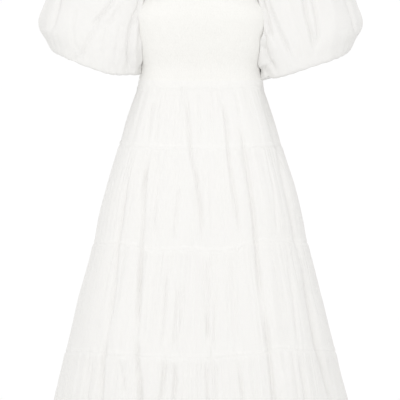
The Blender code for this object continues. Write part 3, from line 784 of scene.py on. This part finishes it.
def bodice_piece(part, face, neck_rise, material):
    """Front or back of the bodice, with its straps."""
    half_width, front, back = (float(v) for v in torso(UNDERARM_Z))
    half_ring = math.pi / 2 * (half_width + (front if face < 0 else back))
    step = BODICE_COLUMN / half_ring * math.pi
    strap = np.linspace(STRAP_INNER_ANGLE, math.pi / 2, int((math.pi / 2 - STRAP_INNER_ANGLE) / step) + 1)
    middle = np.linspace(-STRAP_INNER_ANGLE, STRAP_INNER_ANGLE, int(2 * STRAP_INNER_ANGLE / step) + 1)
    angles = np.concatenate([-strap[:0:-1], middle, strap[1:]])
    heights = np.linspace(WAIST_Z, UNDERARM_Z, int((UNDERARM_Z - WAIST_Z) / BODICE_ROW) + 1)
    rise_step = BODICE_ROW / CHEST_LENGTH
    to_neck = np.linspace(0, neck_rise, int(neck_rise / rise_step) + 1)
    to_shoulder = np.linspace(neck_rise, 1, int((1 - neck_rise) / rise_step) + 1)
    rises = np.concatenate([to_neck, to_shoulder[1:]])
    z, angle = np.meshgrid(heights, angles, indexing="ij")
    low = lower_points(angle, z, face)
    rise, angle_up = np.meshgrid(rises[1:], angles, indexing="ij")
    points = np.concatenate([low, chest_points(angle_up, rise, face)])
    steps = np.linalg.norm(np.diff(points, axis=0), axis=2)
    along = np.concatenate([np.zeros((1, len(angles))), np.cumsum(steps, 0)])
    grid_angle = np.concatenate([angle, angle_up])
    below_arm = np.arange(len(points))[:, None] < len(low)
    turned = np.arcsin(np.clip(points[..., 0] / half_width, -1, 1))
    u = np.where(below_arm, grid_angle, turned) * half_ring / math.pi
    v = along[:, len(angles) // 2][:, None] * np.ones_like(along)
    normal = normals_of(points)
    if face > 0:
        normal = -normal
    neck_row = len(low) - 1 + int(np.searchsorted(rises, neck_rise - TINY))
    edge = plain_edges(points, along, angles, neck_row)
    relief = smocking(u, v) * CELL_RELIEF * edge
    band = ramp((WAIST_BAND - along) / WAIST_BAND_EDGE + 0.5)
    pucker = ridges(u / WAIST_PUCKER_PITCH + 0.7 * wander(430, u / 0.02), PUCKER_LEVEL)
    relief = relief * (1 - band) + band * (WAIST_BAND_LIFT + WAIST_BAND_PUCKER * pucker)
    under_sleeve = ramp((np.abs(points[..., 0]) - SLEEVE_COVERS) / SLEEVE_COVER_EDGE)
    relief = np.where(points[..., 2] < UNDERARM_Z, relief * (1 - under_sleeve * (1 - band)), relief)
    shell = points + normal * (BODICE_SHELL + relief)[..., None]
    keep = np.ones((len(points) - 1, len(angles) - 1), bool)
    first = len(strap) - 1
    keep[neck_row:, first : first + len(middle) - 1] = False
    node = f"bodice_{part}"
    piece = sheet_piece(f"{node}_cloth", shell, np.stack([u, v], -1), material, keep=keep, flip=face > 0,
                        rim=BODICE_RIM, doubled=along[1:, 1:] < WAIST_BAND)
    return finish_piece(piece, node)


def plain_edges(points, along, angles, neck_row):
    """0 on the plain edges of the panel and 1 on the smocking."""
    rows, columns = along.shape
    steps = np.linalg.norm(np.diff(points, axis=1), axis=2)
    across = np.concatenate([np.zeros((rows, 1)), np.cumsum(steps, 1)], 1)
    from_side = np.minimum(across, across[:, -1:] - across)
    edge = ramp(from_side / PLAIN_EDGE)
    from_top = along[-1:] - along
    edge = edge * ramp(from_top / PLAIN_EDGE)
    right = np.searchsorted(angles, STRAP_INNER_ANGLE - TINY)
    left = np.searchsorted(angles, -STRAP_INNER_ANGLE + TINY)
    middle = np.zeros((rows, columns), bool)
    middle[:, left : right + 1] = True
    below_neck = along[neck_row][None, :] - along
    edge = np.where(middle, edge * ramp(below_neck / PLAIN_EDGE), edge)
    beside = np.minimum(*(np.abs(across - across[:, [column]]) for column in (left, right)))
    above = np.arange(rows)[:, None] >= neck_row
    return np.where(above & ~middle, edge * ramp(beside / PLAIN_EDGE), edge)


# Sleeves


def bodice_free(points):
    """Moves sleeve points out of the bodice's side."""
    x, y, z = points[..., 0], points[..., 1], points[..., 2]
    half_width, front, back = torso(np.clip(z, WAIST_Z, UNDERARM_Z))
    depth = np.where(y < 0, front, back)
    power = squareness(z)
    across, along = np.abs(x) / (half_width + BODICE_CLEARANCE), np.abs(y) / (depth + BODICE_CLEARANCE)
    reach = (across**power + along**power) ** (1 / power)
    push = np.where((z <= UNDERARM_Z) & (reach < 1), 1 / np.maximum(reach, 1e-6), 1)
    return points * np.stack([push, push, np.ones_like(push)], -1)


def squared_oval(turns):
    """Places across and along an oval that is squarer on its outer side."""
    power = np.where(np.cos(turns) > 0, 2 / SQUARENESS_OUTSIDE, 2 / SQUARENESS_INSIDE)
    return [np.sign(v) * np.abs(v) ** power for v in (np.cos(turns), np.sin(turns))]


def section_ring(section, turns, side):
    """One section of a sleeve: an oval between its outer and inner points on the front outline."""
    across, along = squared_oval(turns)
    bulge = np.abs(np.sin(turns))
    x = (section.outer_x + section.inner_x) / 2 + across * (section.outer_x - section.inner_x) / 2
    z = (section.outer_z + section.inner_z) / 2 + across * (section.outer_z - section.inner_z) / 2
    droop = LEFT_DROOP if side < 0 else RIGHT_DROOP
    z = z - section.sag * bulge - section.tip * along * droop
    if side < 0:
        z = z + section.left_lift * ramp((-LIFT_START - across) / (1 - LIFT_START))
    points = np.stack([x - section.lap * bulge, -section.half_depth * along, z], -1)
    return bodice_free(points)


def cuff_ring(above, radius, turns):
    """A ring round the arm, square to the cuff's axis, at a height above the cuff's lower edge."""
    up = np.array((-math.sin(CUFF_TILT), 0, math.cos(CUFF_TILT)))
    side = np.array((math.cos(CUFF_TILT), 0, math.sin(CUFF_TILT)))
    centre = np.array((CUFF_CENTRE[0], 0, CUFF_CENTRE[1])) + up * above
    turns = turns[:, None]
    return centre + radius * (side * np.cos(turns) - np.array((0, 1, 0)) * np.sin(turns))


def armhole_ring(turns):
    """The armhole's edge at each turn, from the shoulder down the front, under the arm and up the back."""
    share = turns / math.pi
    down = share <= 1
    rise = np.where(down, 1 - share, share - 1) ** RISE_POWER

    def on_chest(angle):
        front, back = (chest_points(np.full_like(rise, angle), rise, face) for face in (-1, 1))
        return np.where(down[:, None], front, back)

    edge = on_chest(math.pi / 2)
    along = np.roll(edge, -1, 0) - np.roll(edge, 1, 0)
    away = edge - on_chest(math.pi / 2 - ARMHOLE_STEP)
    away[rise < UNDERARM_TIP] = (0, 0, 1)
    along /= np.linalg.norm(along, axis=1, keepdims=True)
    away -= along * np.sum(away * along, axis=1, keepdims=True)
    away /= np.maximum(np.linalg.norm(away, axis=1, keepdims=True), TINY)
    return edge, np.cross(along, away), away


def between(rings, count):
    """Smooth rows through the rings, count in all, each from the four rings around it."""
    rings = np.concatenate([[2 * rings[0] - rings[1]], rings, [2 * rings[-1] - rings[-2]]])
    length = np.linalg.norm(np.diff(rings[1:-1], axis=0), axis=2).mean(1)
    stops = np.concatenate([[0], np.cumsum(length)])
    at = np.linspace(0, stops[-1], count)
    i = np.clip(np.searchsorted(stops, at) - 1, 0, len(length) - 1)
    t = ((at - stops[i]) / length[i])[:, None, None]
    a, b, c, d = rings[i], rings[i + 1], rings[i + 2], rings[i + 3]
    rows = 0.5 * (2 * b + (c - a) * t + (2 * a - 5 * b + 4 * c - d) * t**2 + (3 * b - a - 3 * c + d) * t**3)
    return rows, at, stops


def photo_place(points, side):
    """Where points of one side of the dress fall in the photograph, in pixels."""
    near = CAMERA_DISTANCE / (CAMERA_DISTANCE + points[..., 1])
    px = MID_X + side * points[..., 0] / SCALE * near
    py = MIDDLE_ROW + (-points[..., 2] / SCALE - MIDDLE_ROW) * near - TOP_ROW
    return px, py


def crease_depth(crease, px, py):
    """How strongly one crease is felt at each pixel place, soft at its ends."""
    path = np.array(crease.path, float)
    best = np.full(px.shape, 1e9)
    place = np.zeros(px.shape)
    lengths = np.linalg.norm(np.diff(path, axis=0), axis=1)
    total, run = lengths.sum(), 0.0
    for (x0, y0), (x1, y1), length in zip(path, path[1:], lengths):
        t = np.clip(((px - x0) * (x1 - x0) + (py - y0) * (y1 - y0)) / length**2, 0, 1)
        d = np.hypot(px - x0 - t * (x1 - x0), py - y0 - t * (y1 - y0))
        place = np.where(d < best, (run + t * length) / total, place)
        best = np.minimum(best, d)
        run += length
    ends = ramp(place / CREASE_START) * ramp((1 - place) / CREASE_END)
    return crease.depth * np.exp(-((best / crease.width) ** 2)) * (CREASE_TIP + (1 - CREASE_TIP) * ends)


def felt(crease, px, py):
    """A crease with the soft hollow that a deeper one lies in."""
    depth = crease_depth(crease, px, py)
    if crease.depth > SHALLOW:
        wide = crease._replace(depth=crease.depth * SOFT_FOLD, width=crease.width * SOFT_SPREAD)
        depth = depth + crease_depth(wide, px, py)
    return depth


def sleeve_piece(word, side, creases, material):
    """A balloon sleeve, from the armhole to the elastic."""
    turns = np.linspace(0, 2 * math.pi, SLEEVE_COLUMNS, endpoint=False)
    edge, out, away = armhole_ring(turns)
    seam = edge + away * SLEEVE_SEAM + out * SLEEVE_SEAM
    rings = [seam, seam + out * SLEEVE_STAND]
    rings += [section_ring(section, turns, side) for section in SLEEVE_SECTIONS]
    rings += [cuff_ring(CUFF_WIDTH + turn.above_cuff, turn.radius, turns) for turn in CUFF_TURNS]
    rings.append(cuff_ring(CUFF_WIDTH, CUFF_RADIUS, turns))
    rows, at, stops = between(np.array(rings), SLEEVE_ROWS)
    normal = normals_of(rows, round_rows=True)
    from_armhole = at[:, None] * np.ones((1, SLEEVE_COLUMNS))
    to_cuff = stops[-1] - from_armhole
    turn = turns[None, :] * np.ones_like(from_armhole)
    px, py = photo_place(rows, side)
    facing = ramp(0.5 - rows[..., 1] / FACING_BLEND)
    depth = np.zeros_like(px)
    for crease in creases:
        depth += felt(crease, px, py) * facing
    mirrored = px if side > 0 else 2 * MID_X - px + LEFT_BACK_SHIFT
    for crease in BACK_CREASES:
        depth += felt(crease, mirrored, py) * (1 - facing)
    loose = ramp(from_armhole / SWELL_FADES[0]) * ramp(to_cuff / SWELL_FADES[1])
    relief = -depth * ramp(from_armhole / CREASE_FADES[0]) * ramp((to_cuff - CREASE_STOP) / CREASE_FADES[1])
    seed = 500 if side > 0 else 560
    for number, pleat in enumerate(SLEEVE_GATHERS):
        phase = turn / (2 * math.pi) * pleat.count
        phase = phase + 0.8 * periodic(seed + number, turn, 9) + 0.3 * periodic(seed + 3 + number, turn, 5)
        strength = 0.8 + 0.5 * periodic(seed + 6 + number, turn, 13)
        head = from_armhole / pleat.reach
        head = np.exp(-(head**SLEEVE_GATHER_FALL)) * ramp(from_armhole / GATHER_FADES[0])
        tail = np.maximum(to_cuff - TAIL_START, 0) / (pleat.reach * TAIL_REACH)
        tail = np.exp(-(tail**SLEEVE_GATHER_FALL)) * ramp(to_cuff / GATHER_FADES[1])
        relief = relief + ridges(phase, GATHER_LEVEL) * pleat.size * strength * (head + tail * TAIL_SIZE)
    for swell in SLEEVE_SWELLS:
        swells = softly(seed + swell.seed, turn, from_armhole, swell.count, swell.length)
        relief = relief + swell.size * swells * loose
    points = bodice_free(rows + normal * (SLEEVE_SHELL + relief)[..., None])
    points[..., 0] *= side
    uv = np.stack([turn / (2 * math.pi) * SLEEVE_WEAVE, from_armhole], -1)
    node = f"sleeve_{word}"
    piece = sheet_piece(f"{node}_cloth", points, uv, material, round_rows=True, flip=side < 0)
    return finish_piece(piece, node)


def periodic(seed, turn, count):
    """Smooth noise round a ring, with count cells."""
    return wander(seed, turn / (2 * math.pi) * count, count)


def softly(seed, turn, along, count, length):
    """Soft uneven swells round and along a sleeve."""
    y = along / length
    cell = np.floor(y).astype(int)
    t = ramp(y - cell)
    total = np.zeros_like(turn)
    for k in range(int(cell.max()) + 2):
        weight = np.where(cell == k, 1 - t, 0) + np.where(cell + 1 == k, t, 0)
        total += weight * periodic(seed + k, turn + SWELL_TURN * k, count)
    return total


def cuff_piece(word, side, material):
    """The elasticated band, gathered all round."""
    turns = np.linspace(0, 2 * math.pi, CUFF_COLUMNS, endpoint=False)
    heights = np.linspace(0, CUFF_WIDTH, CUFF_ROWS)
    rows = np.array([cuff_ring(h, CUFF_RADIUS + CUFF_SHELL, turns) for h in heights])
    outwards = rows - np.array([cuff_ring(h, 0.0, turns) for h in heights])
    outwards /= np.linalg.norm(outwards, axis=2, keepdims=True)
    turn = turns[None, :] * np.ones((len(heights), 1))
    share = (heights / CUFF_WIDTH)[:, None]
    rise = np.sin(np.pi * share)
    ridge = np.abs(np.sin(CUFF_RIDGES * turn + 0.5 * periodic(600, turn, 12))) - PUCKER_LEVEL
    relief = CUFF_RIDGE * ridge * (0.55 + 0.45 * rise) + CUFF_PUFF * rise**0.5
    relief = relief - CUFF_GROOVE * np.exp(-(((share - 0.5) / CUFF_GROOVE_WIDTH) ** 2))
    points = rows + outwards * relief[..., None]
    points[..., 0] *= side
    uv = np.stack([turn / (2 * math.pi) * CUFF_WEAVE, share * CUFF_WIDTH + 0 * turn], -1)
    node = f"cuff_{word}"
    piece = sheet_piece(f"{node}_cloth", points, uv, material, round_rows=True, flip=side > 0, rim=RIM)
    return finish_piece(piece, node)


# Camera, floor and light


def look_at(obj, target):
    """Turns an object to face a target."""
    away = obj.location - Vector(target)
    obj.rotation_euler = away.to_track_quat("Z", "Y").to_euler()


def make_stage():
    """The camera at the photograph's place, a pale floor and soft light from the front left."""
    scene = bpy.context.scene
    camera = bpy.data.objects.new("camera", bpy.data.cameras.new("camera"))
    scene.collection.objects.link(camera)
    middle_x = (FRAME_PIXELS / 2 - MID_X) * SCALE
    camera.location = (middle_x, -CAMERA_DISTANCE, -MIDDLE_ROW * SCALE)
    camera.rotation_euler = (math.pi / 2, 0, 0)
    camera.data.sensor_width = SENSOR_WIDTH
    camera.data.lens = SENSOR_WIDTH * CAMERA_DISTANCE / (FRAME_PIXELS * SCALE)
    scene.camera = camera
    mesh = bpy.data.meshes.new("floor")
    bm = bmesh.new()
    bmesh.ops.create_circle(bm, cap_ends=True, radius=FLOOR_RADIUS, segments=96)
    bm.to_mesh(mesh)
    bm.free()
    floor = bpy.data.objects.new("floor", mesh)
    floor.location = (0, 0, cad_box[0][2] - FLOOR_GAP)
    scene.collection.objects.link(floor)
    paint = bpy.data.materials.new("floor_paint")
    paint.use_nodes = True
    shader = paint.node_tree.nodes["Principled BSDF"]
    shader.inputs["Base Color"].default_value = FLOOR_COLOUR
    shader.inputs["Roughness"].default_value = 0.9
    mesh.materials.append(paint)
    world = bpy.data.worlds.new("studio")
    world.use_nodes = True
    world.node_tree.nodes["Background"].inputs["Color"].default_value = (1.0, 1.0, 1.0, 1)
    world.node_tree.nodes["Background"].inputs["Strength"].default_value = WORLD_STRENGTH
    scene.world = world
    key = bpy.data.objects.new("key", bpy.data.lights.new("key", "AREA"))
    key.data.shape = "DISK"
    key.data.size = KEY_SIZE
    key.data.energy = KEY_POWER
    key.location = KEY_PLACE
    scene.collection.objects.link(key)
    look_at(key, KEY_AIM)
    scene.view_settings.view_transform = "Standard"
    scene.view_settings.look = "None"


make_stage()
plain = cotton("plain_cotton_cloth", PLAIN_COLOUR, slub=0.00004, crinkle=0.0010)
# The sleeves and cuffs take a darker copy of the plain cotton, which is painted shade
shaded_sleeve_cotton = cotton("shaded_sleeve_cotton_cloth", SHADED_SLEEVE_COLOUR, slub=0.00004, crinkle=0.0009)
smocked = cotton("smocked_cotton_cloth", SMOCKED_COLOUR, slub=0.00003, crinkle=0.0003)
doubled_cotton = cotton("doubled_cotton_cloth", DOUBLED_COLOUR, slub=0.00003, crinkle=0.0003)
for tier_number in range(len(TIER_NAMES)):
    skirt_piece(tier_number, "front", -90, 90, plain)
    skirt_piece(tier_number, "back", 90, 270, plain)
bodice_piece("front", -1, FRONT_NECK_RISE, smocked)
bodice_piece("back", 1, BACK_NECK_RISE, smocked)
sleeve_piece("right", 1, RIGHT_CREASES, shaded_sleeve_cotton)
sleeve_piece("left", -1, LEFT_CREASES, shaded_sleeve_cotton)
cuff_piece("right", 1, shaded_sleeve_cotton)
cuff_piece("left", -1, shaded_sleeve_cotton)
